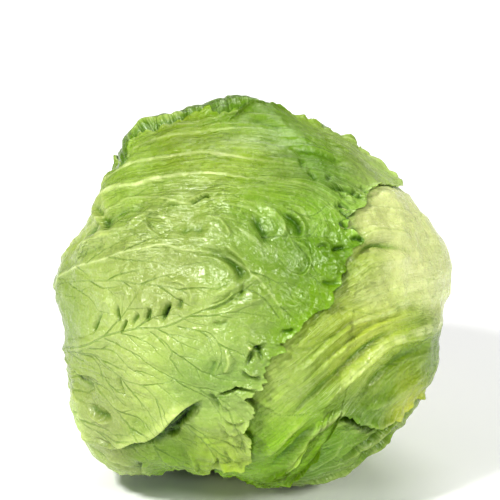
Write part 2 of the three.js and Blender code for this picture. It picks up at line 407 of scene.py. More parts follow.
# ---------------------------------------------------------------- the leaves
left_leaf = Leaf("wrapper_leaf_left", face(-39, -1), [
    *[face(*p) for p in [
        (72, 56), (65, 49), (55, 46), (42, 39), (40, 35), (37, 31), (33, 29), (31, 25), (30, 23),
        (32, 21), (35, 18), (31, 16), (29, 13), (28, 9), (27, 7), (25, 4), (24, 2), (23, -2),
        (20, -3), (17, -5), (14, -7), (11, -10), (9, -12), (7, -12), (10, -14), (9, -15), (6, -16),
        (4, -18), (4, -20), (3, -22), (4, -24), (3, -26), (-1, -28), (-3, -30), (0, -31), (1, -35),
        (-1, -38), (-3, -41), (-1, -43), (0, -47), (-1, -51), (0, -54), (-4, -58), (-8, -58),
        (-15, -62), (-20, -64), (-25, -67), (-29, -67), (-36, -70), (-43, -73), (-49, -70),
        (-56, -68)]],
    *[around(*p) for p in [
        (230, 100), (227, 114), (229, 135), (236, 155), (244, 165), (212, 166), (180, 166),
        (148, 166), (116, 165), (124, 155), (132, 135), (134, 112), (134, 92), (134, 80)]],
    *[face(*p) for p in [
        (-49, 52), (-45, 57), (-41, 61), (-34, 62), (-30, 64), (-24, 67), (-16, 68),
        (-9, 67), (-3, 69), (4, 74), (14, 82), (39, 84), (61, 69)]],
], 330, 760, 11)

right_leaf = Leaf("wrapper_leaf_right", face(32, 6), [
    *[face(*p) for p in [
        (-6, 34), (-16, 4), (-24, -22), (-20, -44), (-14, -62), (-8, -76), (6, -80), (11, -68),
        (13, -58), (17, -48), (20, -42), (24, -39), (29, -37), (44, -44), (57, -45), (74, -42)]],
    *[around(*p) for p in [
        (-35, 100), (-42, 125), (-52, 150), (-62, 165), (-30, 166), (0, 166), (30, 166),
        (66, 165), (60, 145), (56, 120), (54, 95)]],
    face(40, 72), face(10, 58),
], 260, 560, 12)

lower_leaf = Leaf("wrapper_leaf_lower", around(-64, 76), [
    face(-16, -44), face(-24, -72), around(-104, 102), around(-103, 125), around(-106, 150),
    around(-114, 165), around(-82, 166), around(-50, 166), around(-20, 165), around(-14, 150),
    around(-9, 125), around(-6, 100), around(-8, 78), face(38, -16), face(8, -26),
], 170, 420, 13)

top_leaf = Leaf("wrapper_leaf_top", around(106, 80), [
    around(52, 84), around(58, 102), around(62, 125), around(60, 150), around(54, 165),
    around(76, 166), around(102, 166), around(130, 166), around(161, 165), around(157, 150),
    around(159, 125), around(161, 100), around(158, 78), face(-42, 28), face(0, 28), face(38, 38),
], 150, 400, 14)

under_leaf = Leaf("wrapper_leaf_underneath", around(-128, 84), [
    face(8, -46), face(-20, -30), face(-58, -24), around(190, 88), around(191, 118),
    around(194, 150), around(190, 165), around(214, 166), around(236, 166), around(256, 165),
    around(259, 150), around(263, 125), around(266, 100), around(270, 82),
], 140, 360, 15)

behind_leaf = Leaf("wrapper_leaf_behind", around(42, 84), [
    face(18, 22), face(58, 0), around(-6, 95), around(-9, 125), around(-11, 150),
    around(-6, 165), around(20, 166), around(54, 166), around(90, 165), around(86, 150),
    around(88, 125), around(92, 98), face(4, 62),
], 140, 380, 16)

WRAPPERS = [left_leaf, right_leaf, lower_leaf, top_leaf, under_leaf, behind_leaf]

# Main veins: points, (width at the start, at the end), height, paleness and ink where a
# vein has its own
LEFT_RIBS = [
    ([(178, 165, 0), (184, 140, 0), (190, 112, 0), (-84, -21), (-73, -19), (-57, -16), (-48, -12),
      (-36, -9), (-26, -8), (-17, -4), (-9, -1), (-2, 3), (3, 1), (8, -5)], (4.5, 0.5), 2.2, 0.5, 0.8),
    ([(172, 160, 0), (172, 120, 0), (-83, 4), (-72, 9), (-64, 11), (-49, 13), (-42, 15), (-33, 16),
      (-27, 17), (-20, 15), (-11, 14), (-4, 11), (3, 5), (9, -3)], (2.2, 0.4), 1.4, 0.6, -0.6),
    ([(178, 125, 0), (-84, -2), (-73, 5), (-67, 6), (-43, 6), (-36, 5), (-25, 4), (-19, 2)],
     (1.4, 0.3), 0.8, 0.6),
    ([(-84, -21), (-74, -20), (-55, -19), (-48, -22), (-42, -26), (-34, -28), (-27, -35)],
     (0.9, 0.3), 0.5, 0.5),
    ([(162, 158, 0), (160, 120, 0), (-82, 26), (-72, 35), (-56, 38), (-47, 38), (-39, 38), (-32, 39),
      (-14, 40), (-1, 38), (9, 38), (21, 35), (28, 31)], (2.4, 0.5), 1.5, 0.9, -0.4),
    ([(166, 130, 0), (-84, 18), (-73, 26), (-59, 29), (-48, 32), (-40, 34), (-31, 33), (-21, 30),
      (-9, 31), (1, 29), (9, 22), (15, 12), (19, 4)], (1.4, 0.4), 0.9, 0.6, -0.2),
    ([(150, 155, 0), (150, 120, 0), (-72, 41), (-56, 46), (-44, 47), (-31, 48), (-17, 48), (-1, 45),
      (10, 44), (17, 45), (26, 44), (38, 42)], (2.2, 0.5), 1.4, 0.9, -0.35),
    ([(142, 150, 0), (140, 110, 0), (-63, 51), (-52, 53), (-40, 55), (-25, 58), (-7, 59), (10, 59),
      (25, 57), (42, 52)], (2.0, 0.5), 1.1, 0.6, -0.25),
    ([(134, 120, 0), (-56, 58), (-40, 61), (-20, 64), (0, 68), (20, 68), (42, 63)],
     (1.4, 0.5), 0.8, 0.5, -0.2),
    ([(190, 112, 0), (-88, -29), (-74, -31), (-61, -29), (-52, -32), (-44, -39)], (1.5, 0.4), 0.8, 0.6),
    ([(196, 150, 0), (200, 115, 0), (-82, -38), (-66, -39), (-57, -44), (-51, -46), (-45, -48)],
     (2.2, 0.5), 1.2, 1.0),
    ([(206, 150, 0), (212, 112, 0), (-75, -48), (-65, -50), (-60, -55), (-55, -62)],
     (2.0, 0.6), 1.2, 1.0),
    ([(216, 150, 0), (221, 115, 0), (-68, -59), (-62, -63), (-56, -66)], (1.8, 0.6), 1.0, 0.9),
    ([(-72, -41), (-63, -44), (-56, -49), (-49, -50)], (0.8, 0.5), 0.8, 0.9),
    ([(-27, -35), (-21, -43), (-13, -49), (-8, -56)], (0.7, 0.3), 0.5, 0.4),
    ([(-44, -39), (-37, -47), (-32, -56), (-30, -64)], (0.7, 0.3), 0.5, 0.4),
    ([(-16, -27), (-8, -33), (-4, -42), (-2, -50)], (0.7, 0.3), 0.5, 0.4),
]
LEFT_FINE = [
    [(-48, -13), (-36, -17), (-32, -20), (-27, -23), (-21, -25), (-16, -27)],
    [(-31, -10), (-26, -13), (-24, -16), (-25, -18), (-22, -20)],
    [(-22, -8), (-16, -9), (-12, -10), (-9, -14), (-9, -19)],
    [(-61, -19), (-54, -21), (-50, -27), (-47, -31), (-42, -36)],
    [(-55, -17), (-45, -17), (-39, -22), (-34, -24)],
    [(3, 19), (14, 19), (18, 20), (20, 23)],
    [(11, 28), (15, 26), (19, 26), (23, 29)],
    [(12, 18), (16, 14), (17, 11), (15, 8), (11, 9), (8, 12)],
]
# Folds, creases and dimples: points, (height, width) to the left and to the right of the
# path, and the ends and blend of its stroke where they are its own
LEFT_FOLDS = [
    ([(-49, -52), (-43, -50), (-39, -48), (-34, -47), (-29, -43), (-22, -35), (-14, -30)],
     (2.8, 4.5), (-3.0, 3.2), 0.25, 0.5),
    ([(-30, -46), (-26, -42), (-20, -35)], (0.3, 1), (-2.2, 1.6), 0.35, 0.5),
    ([(-11, -29), (-7, -27), (-2, -25)], (0.5, 0.8), (-2.2, 0.7)),
    ([(-9, -37), (-5, -38), (-1, -37)], (0.9, 0.9), (-0.9, 0.7), 0.35),
    ([(-10, -41), (-6, -43), (-2, -42)], (0.9, 0.9), (-0.9, 0.7), 0.35),
    ([(-9, -46), (-5, -48), (-1, -48)], (0.9, 1.0), (-1.1, 0.8), 0.35),
    ([(-14, -58), (-12, -55), (-13, -50)], (0.8, 0.9), (-0.9, 0.7), 0.35),
    ([(-21, -64), (-19, -60), (-20, -55)], (0.8, 1.1), (-0.9, 0.8), 0.35),
    ([(-70, -34), (-64, -38), (-60, -45), (-58, -54)], (1.4, 3.0), (-1.6, 3.0), 0.3, 1.2),
    ([(-52, -56), (-46, -59), (-40, -63)], (1.3, 2.4), (-1.5, 2.4), 0.3, 1.2),
    ([(-64, 36), (-58, 32), (-50, 24), (-45, 21)], (-1.2, 2.6), (1.2, 2.6), 0.3, 1.2),
    ([(-40, 22), (-33, 27), (-26, 25)], (1.2, 2.4), (-1.0, 2.2), 0.3, 1.2),
    ([(-31, -47), (-27, -46), (-24, -43)], (-1.2, 0.8), (-1.8, 1.2), 0.35, 0.8),
    ([(-40, -56), (-32, -53), (-25, -50), (-15, -44)], (-1.0, 3), (-1.0, 4)),
    ([(-49, -3), (-51, -7), (-54, -13)], (-2.2, 0.55), (-1.3, 1.2), 0.45),
    ([(-43, -1), (-43, -4), (-42, -8)], (-2.4, 0.4), (-1.2, 1.0), 0.45),
    ([(-39, -6), (-42, -11)], (-1.8, 0.5), (-1.2, 0.8)),
    ([(-35, -4), (-38, -8)], (-1.3, 0.6), (-1.0, 0.9)),
    ([(-31, -2), (-33, -7)], (-1.6, 0.8), (-1.2, 1.1)),
    ([(-24, 0), (-26, -3), (-28, -7)], (-2.8, 0.8), (-1.9, 1.5), 0.4),
    ([(-21, 1), (-22, -3)], (-1.2, 0.8), (-1.0, 1.1)),
    ([(-53, -3), (-47, 0), (-45, -5), (-48, -10)], (0.5, 1.6), (0.9, 1.6)),
    ([(-46, 2), (-40, 2), (-38, -2)], (0.8, 1.2), (0.6, 1.4)),
    ([(-35, 1), (-33, -2), (-35, -7)], (0.6, 1.2), (0.5, 1.2)),
    ([(-29, 2), (-28, -2), (-30, -6)], (0.8, 1.2), (0.6, 1.2)),
    ([(-27, 5), (-21, 5), (-18, 1), (-20, -4)], (1.2, 1.4), (0.6, 1.4)),
    ([(-15, -4), (-10, -2), (-6, 0), (-4, 2)], (-1.3, 0.45), (-0.7, 0.7), 0.4),
    ([(-5, 0), (-3, 2), (-2, 5), (0, 7)], (-1.2, 0.5), (-0.6, 0.8), 0.4),
    ([(-13, -2), (-8, 0), (-5, 3)], (-1.0, 0.5), (0.6, 0.9)),
    ([(-12, -6), (-10, -7), (-6, -6)], (-0.8, 0.8), (-0.8, 0.9)),
    ([(-15, 0), (-7, 3), (0, 6), (8, 10)], (1.2, 1.8), (1.2, 1.4)),
    ([(-15, -7), (-7, -3), (2, 1), (9, 4)], (0.9, 1.8), (1.2, 1.6)),
    ([(-28, 29), (-25, 29.8), (-21.5, 29.9)], (0.8, 1.4), (-2.8, 0.3), 0.4),
    ([(-21, 30), (-18, 30.6), (-16, 32), (-14, 32.6), (-12.5, 31)], (1.2, 1.2), (-3.6, 0.38)),
    ([(-28, 27), (-20, 28), (-12, 28)], (-0.9, 2.4), (-0.6, 2.4)),
    ([(-36, 27), (-33, 24.5), (-31, 22), (-28, 20), (-26, 18)], (-1.2, 0.4), (0.6, 1.2), 0.4),
    ([(-17, 26), (-11, 25), (-8, 23), (-6, 19), (-8, 17)], (0.4, 2.5), (1.5, 1.3)),
    ([(-24, 20), (-18, 22), (-13, 20)], (-1.3, 1.8), (-1.6, 2.2)),
    ([(-18, 13), (-12, 13.5), (-7, 11), (-4, 7), (-5, 2)], (-1.7, 1.9), (0.9, 3.0), 0.35, 0.9),
    ([(-10, 17), (-6, 14), (-2, 10), (0, 5)], (0.9, 1.6), (-0.4, 2.0)),
    ([(1, 30), (5, 27), (9, 23), (9, 20), (6, 18)], (1.6, 1.6), (1.0, 1.6)),
    ([(0, 27), (2, 23), (4, 19), (4, 15)], (-1.2, 1.8), (-1.9, 1.4), 0.35, 0.9),
    ([(9, 27), (13, 25), (15, 22), (15, 18)], (1.3, 1.6), (-1.3, 2.0)),
    ([(12, 18), (16, 15), (17, 11), (15, 8), (11, 9)], (0.9, 1.0), (-0.7, 1.6)),
    ([(28, 63), (33, 62), (40, 57)], (0.9, 1.8), (-1.4, 1.2)),
    ([(-59, -38), (-53, -41), (-47, -42)], (-1.5, 2.6), (1.3, 1.3), 0.3, 0.7),
    ([(-44, -25), (-43, -29), (-41, -34)], (-1.5, 0.45), (-0.6, 1.0)),
    ([(-54, -48), (-49, -50), (-46, -49)], (-1.0, 0.8), (0.8, 1.0)),
    ([(-83, -23), (-69, -24), (-61, -27), (-54, -26)], (0.7, 1.4), (1.3, 1.4)),
    ([(-70, -29), (-60, -31), (-54, -34)], (-1.8, 3.4), (-1.2, 3.0)),
    ([(-10, -17), (-12, -20), (-13, -24)], (-1.2, 1.3), (-0.9, 1.8)),
    ([(-8, -14), (-7, -18), (-9, -22)], (1.8, 1.6), (0.8, 1.2)),
    ([(-13, -27), (-10, -31), (-9, -35)], (0.8, 1.4), (-1.8, 1.2), 0.4, 0.9),
    ([(-25, -49), (-22, -44), (-17, -39)], (-1.4, 1.6), (-1.0, 2.0), 0.35, 1.2),
    ([(-80, 16), (-64, 25), (-52, 28), (-40, 31), (-26, 31)], (-1.2, 3.5), (-2.0, 4)),
    ([(-74, 31), (-55, 36), (-43, 37), (-30, 38), (-14, 39)], (1.2, 3), (0.4, 2.2)),
    ([(-70, 14), (-61, 19), (-50, 20), (-40, 21)], (2.2, 2.6), (1.4, 3)),
    ([(-65, 14), (-54, 17), (-46, 19)], (-0.9, 1.4), (-0.9, 1.4)),
    ([(-2, 66), (6, 64), (14, 62)], (-1.4, 2), (-1.4, 2)),
    ([(-31, 60), (-17, 61), (-4, 62)], (-0.9, 2), (1.0, 2)),
    ([(10, 51), (24, 51), (37, 50)], (1.0, 2.2), (-1.0, 2.2)),
    ([(24, 38), (32, 37), (38, 37)], (0.9, 1.4), (-1.4, 1.2)),
    ([(26, 31), (30, 28)], (-1.4, 1.2), (-1.2, 1.2)),
    ([(-33, -52), (-32, -57), (-28, -63)], (0.5, 1.6), (-0.7, 1.4), 0.4, 1.3),
    ([(-25, -50), (-22, -55), (-20, -61)], (0.6, 1.8), (-0.8, 1.4), 0.4, 1.3),
    ([(-18, -46), (-14, -50), (-13, -55)], (0.5, 1.5), (-0.6, 1.2), 0.4, 1.3),
    ([(-12, -36), (-8, -41), (-6, -47)], (0.7, 1.5), (-0.8, 1.2), 0.4, 1.2),
    ([(-9, -50), (-6, -54), (-3, -56)], (0.8, 1.2), (-1.2, 1.2)),
    ([(-38, -57), (-40, -63), (-38, -69)], (1.2, 1.8), (-1.6, 1.6)),
    ([(-3, -20), (0, -22), (3, -22)], (1.2, 1.2), (-1.4, 1.0)),
    ([(-6, -25), (-2, -26), (2, -26)], (1.0, 1.2), (-1.6, 1.0)),
    ([(-2, -12), (1, -14), (3, -18)], (-1.4, 1.0), (1.2, 1.2)),
    ([(28, 32), (31, 30), (33, 29)], (-2.6, 0.7), (-2.0, 0.9)),
    ([(28, 29), (30, 27), (32, 25)], (-3.0, 0.8), (-2.4, 0.9)),
    ([(27, 25), (29, 23), (31, 22)], (-2.6, 0.7), (-2.0, 0.9)),
    ([(30, 19), (33, 19), (36, 18)], (-2.2, 0.8), (-1.6, 0.9)),
    ([(24, 15), (27, 16), (30, 16)], (-1.8, 0.8), (-1.4, 0.9)),
    ([(34, 37), (36, 35), (39, 36)], (-2.2, 0.7), (-1.6, 0.9)),
    ([(38, 40), (41, 37)], (-1.8, 0.7), (-1.4, 0.9)),
    ([(29, 36), (32, 33), (34, 31)], (1.2, 1.0), (-1.4, 0.8)),
    ([(18, 42), (20, 40), (21, 38)], (-1.6, 0.7), (-1.2, 0.9)),
    ([(24, 40), (27, 41)], (-1.6, 0.6), (-1.2, 0.9)),
    ([(17, 47), (16, 43)], (-1.4, 0.7), (-1.0, 0.9)),
    ([(18, 16), (22, 17), (24, 15)], (0.7, 1.2), (-1.0, 1.0)),
    ([(17, -6), (20, -5), (23, -3)], (-1.8, 0.8), (-1.4, 0.9)),
    ([(8, -9), (11, -9), (13, -8)], (-1.6, 0.7), (-1.2, 0.9)),
    ([(20, 6), (24, 5), (27, 6)], (-1.2, 0.9), (-1.2, 0.9)),
    ([(134, 98, 0), (134, 82, 0), (-50, 52), (-43, 58)], (-3.8, 3.6), (-3.8, 3.6), 0.2),
    ([(4, -1), (11, -2), (17, -1)], (0.9, 2.2), (0.4, 1.4)),
    ([(-2, -8), (5, -9), (9, -8)], (-0.8, 2), (-0.8, 2)),
    ([(-2, -20), (0, -14), (5, -12)], (0.9, 1.6), (-1.2, 1.6)),
]
RIGHT_RIBS = [
    ([(-8, 165, 0), (-4, 135, 0), (0, 105, 0), (80, 3), (56, -1), (41, -5), (31, -7), (25, -11), (18, -18),
      (10, -24), (4, -30)], (4.5, 0.45), 2.0, 0.9),
    ([(-16, 160, 0), (-10, 125, 0), (86, -14), (70, -10), (46, -13), (36, -19), (31, -23), (24, -29),
      (19, -34), (13, -37), (7, -44), (2, -50)], (4.0, 1.0), 1.9, 0.9),
    ([(-26, 155, 0), (-22, 120, 0), (81, -28), (71, -34), (61, -37), (48, -42)], (3.6, 0.8), 1.6, 0.95),
    ([(4, 155, 0), (6, 120, 0), (82, 12), (67, 8), (52, 5), (34, 0), (24, -4), (14, -12), (7, -17)],
     (2.4, 0.5), 1.3, 0.8),
    ([(16, 155, 0), (14, 120, 0), (80, 22), (67, 22), (54, 23), (41, 23), (32, 19)],
     (3.6, 0.8), 1.1, 0.9),
    ([(28, 155, 0), (26, 120, 0), (79, 37), (64, 34), (51, 33), (40, 32)], (2.4, 0.8), 0.8, 0.9),
    ([(40, 150, 0), (38, 115, 0), (72, 51), (59, 45), (46, 39)], (2.2, 0.8), 0.7, 0.9),
    ([(71, -20), (55, -21), (44, -26), (35, -32), (27, -37)], (1.2, 0.6), 0.9, 0.4),
    ([(61, -7), (49, -9), (40, -14)], (0.9, 0.4), 0.6, 0.4),
    ([(41, -5), (29, -3), (21, -1)], (0.8, 0.4), 0.5, 0.4),
    ([(36, -19), (23, -22), (13, -29), (6, -34)], (0.8, 0.5), 0.6, 0.3),
]
RIGHT_FOLDS = [
    ([(31, 13), (34, 15.5), (38, 18), (45, 18), (54, 17), (62, 18)], (-0.7, 2.2), (-1.0, 2.0)),
    ([(31, 13), (34, 15.5), (38, 17.5), (42, 18), (46, 18)], (-0.6, 0.8), (-1.0, 0.6), 0.35),
    ([(34, 21), (44, 22), (56, 22)], (1.4, 2.4), (1.0, 2.4)),
    ([(34, 12), (44, 13), (56, 13)], (1.2, 2.6), (1.2, 2.6)),
    ([(59, -1), (50, -2), (45, -4)], (-1.4, 2), (-1.2, 2)),
    ([(72, -12), (58, -13), (46, -14), (36, -20), (27, -27), (19, -35)], (1.4, 1.8), (0.8, 3.5), 0.2),
    ([(19, -35), (13, -39), (8, -46), (2, -54)], (1.6, 1.6), (0.8, 2.4), 0.25),
    ([(50, -9), (38, -14), (28, -21), (18, -30), (11, -39)], (-0.9, 3), (-1.6, 2.2)),
    ([(56, -4), (42, -7), (31, -12), (22, -19), (12, -28)], (1.0, 1.6), (-0.6, 2)),
    ([(36, -5), (26, -10), (18, -17), (9, -24)], (0.9, 1.4), (-0.8, 1.8)),
    ([(66, -19), (52, -21), (42, -26), (32, -33)], (-1.2, 3), (-1.8, 3.5)),
    ([(72, -26), (60, -30), (48, -34), (38, -36), (30, -34)], (0.8, 3), (1.4, 2.4)),
    ([(22, -36), (17, -42), (12, -49), (7, -57), (4, -66)], (-1.8, 2.2), (-0.8, 3)),
    ([(33, -35), (28, -35), (22, -39), (18, -44), (14, -52), (11, -62)], (1.9, 1.6), (1.5, 1.0), 0.2),
    ([(60, -42), (50, -43), (42, -42), (34, -38)], (1.4, 1.6), (1.0, 1.4), 0.2),
    ([(73, -1), (65, -5), (59, -5)], (1.2, 4), (0.8, 4)),
    ([(60, -44), (67, -43), (74, -42), (-34, 96, 0)], (-1.7, 3), (-1.7, 3)),
]
LOWER_RIBS = [
    ([(-62, 165, 0), (-60, 135, 0), (-56, 108, 0), (53, -64), (41, -61), (31, -62), (21, -64)],
     (4.5, 0.6), 2.0, 0.8),
    ([(-50, 160, 0), (-46, 120, 0), (63, -52), (52, -47), (41, -46), (31, -48), (23, -54), (15, -63)],
     (3.0, 0.8), 1.5, 0.6),
    ([(-74, 160, 0), (-74, 125, 0), (-72, 95, 0), (25, -73), (14, -70)], (3.6, 0.6), 1.4, 0.8),
    ([(-38, 160, 0), (-34, 120, 0), (77, -46), (65, -44)], (2.6, 0.8), 1.2, 0.8),
    ([(-88, 160, 0), (-88, 125, 0), (-86, 98, 0), (2, -73)], (2.6, 0.6), 1.0, 0.6),
    ([(-24, 155, 0), (-22, 120, 0), (-20, 95, 0)], (2.4, 0.8), 1.0, 0.6),
]
LOWER_FOLDS = [
    ([(54, -48), (44, -47), (36, -41), (31, -39), (26, -41), (22, -45), (18, -50), (15, -58), (12, -69)],
     (-4.6, 1.3), (-3.6, 1.8), 0.12),
    ([(59, -50), (52, -51), (46, -54), (39, -57), (32, -63)], (1.6, 3), (-3.0, 1.4), 0.25),
    ([(34, -44), (30, -48), (28, -53), (22, -58), (16, -64)], (1.4, 2.0), (1.0, 2.0)),
    ([(44, -49), (36, -52), (30, -58), (24, -66)], (-1.2, 2.0), (-1.6, 1.6)),
    ([(60, -57), (50, -60), (42, -66)], (1.4, 2.4), (-1.8, 1.8)),
    ([(41, -68), (31, -72), (20, -74)], (1.0, 4), (-1.2, 3)),
    ([(47, -62), (41, -70), (35, -76)], (-1.4, 2.4), (1.4, 2.4)),
]

TOP_FOLDS = [
    ([(-50, 54), (-46, 59), (-42, 65), (-34, 66), (-24, 70), (-14, 71)],
     (-3.2, 2.4), (-3.2, 2.4), 0.15),
    ([(-14, 71), (-8, 70), (-3, 71), (4, 75)], (-1.8, 1.6), (-1.8, 1.6), 0.2),
    ([(-48, 62), (-43, 69), (-34, 70), (-24, 74)], (1.6, 2), (1.2, 2), 0.2),
]


def fan(leaf, turns, width, height):
    """Main veins that spread from the stem over a leaf."""
    centre = sum(turns) / len(turns)
    for turn in turns:
        spread = turn - centre
        points = [(centre + 0.62 * spread, 165, 0), (centre + 0.7 * spread, 140, 0),
                  (centre + 0.85 * spread, 115, 0), (turn, 90, 0), (centre + 1.1 * spread, 66, 0)]
        own = 1 - 0.5 * abs(spread) / max(abs(t - centre) for t in turns)
        leaf.rib(points, (width * own, 0.5), height * own, 0.9, ink=0.2)


for leaf, ribs, ink in ((left_leaf, LEFT_RIBS, 0.6), (right_leaf, RIGHT_RIBS, 0.3),
                        (lower_leaf, LOWER_RIBS, 0.3)):
    for points, width, height, pale, *own_ink in ribs:
        ends = 0.02 if len(points[0]) == 2 else 0
        leaf.rib(points, width, height, pale, ends, *(own_ink or [ink]))
fan(top_leaf, [66, 78, 88, 98, 107, 116, 126, 138, 150], 4.5, 2.0)
fan(under_leaf, [198, 210, 222, 234, 246, 256], 4.0, 1.8)
fan(behind_leaf, [4, 16, 28, 38, 48, 60, 72], 4.5, 2.0)
for points in LEFT_FINE:
    path = left_leaf.path(points)
    left_leaf.vein(path, 0.24, 0.18, 0.6, 0.3)
    left_leaf.parents.append(path)
for leaf, folds in ((left_leaf, LEFT_FOLDS), (right_leaf, RIGHT_FOLDS), (lower_leaf, LOWER_FOLDS),
                    (top_leaf, TOP_FOLDS)):
    for points, left, right, *own in folds:
        leaf.stroke(points, left, right, *own)
left_leaf.calm = lambda x, y: smoothstep(8, 20, y) * smoothstep(-78, -62, x)
right_leaf.calm = lambda x, y: 0.8
right_leaf.pleats = 0.55
for leaf, spacing, levels in ((left_leaf, 6.5, 3), (right_leaf, 7, 2), (lower_leaf, 7, 2),
                              (top_leaf, 8, 2), (under_leaf, 8, 2), (behind_leaf, 8, 2)):
    leaf.grow(spacing, levels)
    leaf.settle()

# The head's greens, as sRGB from 0 to 255
GREENS = {
    "cream": (225, 230, 170), "ivory": (210, 215, 160), "straw": (195, 200, 140),
    "butter": (225, 230, 125), "lime": (195, 200, 80), "mint": (190, 210, 135),
    "pale": (175, 190, 120), "soft": (170, 185, 110), "fresh": (165, 195, 100),
    "meadow": (155, 180, 85), "leaf": (150, 170, 75), "sage": (150, 165, 100),
    "dusty": (145, 155, 100), "dull": (130, 150, 85), "olive": (135, 155, 60),
    "moss": (125, 155, 60), "bright": (135, 170, 55), "vivid": (155, 180, 55),
    "shade": (110, 150, 55), "deep": (110, 140, 55), "dark": (85, 125, 55), "crevice_shade": (75, 130, 55),
}
# Where each leaf shows which green: places (right, up) on the face. The greens are partly the
# leaves' own colour and partly painted light and shade: darker greens sit in hollows, creases
# and the shade under and between leaves, lighter ones where light falls brightest.
COLOURS = {
    "wrapper_leaf_left": {
        "mint": [(-68, -56), (51, 55)],
        "pale": [(-41, -4), (-2, -35), (-13, -12)],
        "soft": [(-64, 26), (-30, -28)],
        "fresh": [(31, 35)],
        "meadow": [(-45, 47), (31, 69), (10, 31)],
        "leaf": [(-1, 41), (-8, -53)],
        "sage": [(-26, 21), (-52, -25), (0, 14), (39, 58), (-61, 5)],
        "dusty": [(-54, -49), (-31, 3)],
        "dull": [(-70, -3), (-4, -1)],
        "olive": [(-26, 60)],
        "moss": [(25, -1), (17, -9), (-26, -55), (0, 70)],
        "bright": [(24, 58)],
        "deep": [(19, 6)],
        "dark": [(20, 45), (-11, -23), (8, 21)],
    },
    "wrapper_leaf_right": {
        "cream": [(61, 31), (45, 9)],
        "ivory": [(67, 15), (75, -1)],
        "straw": [(45, 23)],
        "butter": [(36, -14)],
        "lime": [(61, -38)],
        "soft": [(11, -24)],
        "olive": [(31, 5), (21, -7)],
        "bright": [(13, -43), (6, -60)],
        "vivid": [(48, -16)],
        "deep": [(25, -27), (61, -24), (75, -24)],
        "dark": [(42, -28)],
    },
    "wrapper_leaf_lower": {
        "pale": [(31, -68)],
        "meadow": [(65, -62)],
        "leaf": [(63, -48), (10, -73)],
        "bright": [(31, -54)],
        "deep": [(47, -60)],
        # painted shade: the darkest green, in the crevice under the right leaf's edge
        "crevice_shade": [(21, -62)],
    },
    # painted shade: the top leaf's lip under the left leaf's edge is given a darker green
    "wrapper_leaf_top": {"deep": [(0, 72), (-50, 64)], "meadow": [(-32, 108)]},
    # painted shade: the leaf underneath is given a darker green where it lies in shade
    "wrapper_leaf_underneath": {"shade": [(-40, -60), (-60, -60)]},
    "wrapper_leaf_behind": {"fresh": [(60, 60), (80, 20)]},
}
SHEEN = 0.035
WHITE_BASE = colour(222, 228, 184)
PAINTED_SHADE = np.array([0.42, 0.58, 0.24])  # painted shade: what a colour is multiplied by in a hollow and beside an outer leaf's edge
PAINTED_DEEP_SHADE = np.array([0.16, 0.28, 0.30])  # painted deeper shade, for a narrow crease and right at an outer leaf's edge
# painted highlight for raised crests
PAINTED_CREST_LIGHT = colour(226, 236, 156)


def depth_under(index, d):
    """What the leaves outside this one do to it.

    How far they hold it down, how much their edges shade it, and how covered it is.
    """
    depth, shade, covered = np.zeros((3, *d.shape[:-1]))
    for outer in WRAPPERS[:index]:
        x, y = outer.local(d)
        past = outer.past_edge(x, y)
        shade = np.maximum(shade, np.exp(-(np.maximum(past - 0.3, 0) / 2.6) ** 2) * (past > -4))
        cover = 1.3 * (1 - smoothstep(1.0, 13, past)) + 2.0 * smoothstep(-2, -12, past)
        pressed = np.minimum(outer.sample("relief", x, y), 0) * smoothstep(3, -3, past)
        depth += cover - 0.6 * pressed
        covered = np.maximum(covered, smoothstep(1.5, -1.5, past))
    return depth, shade, covered


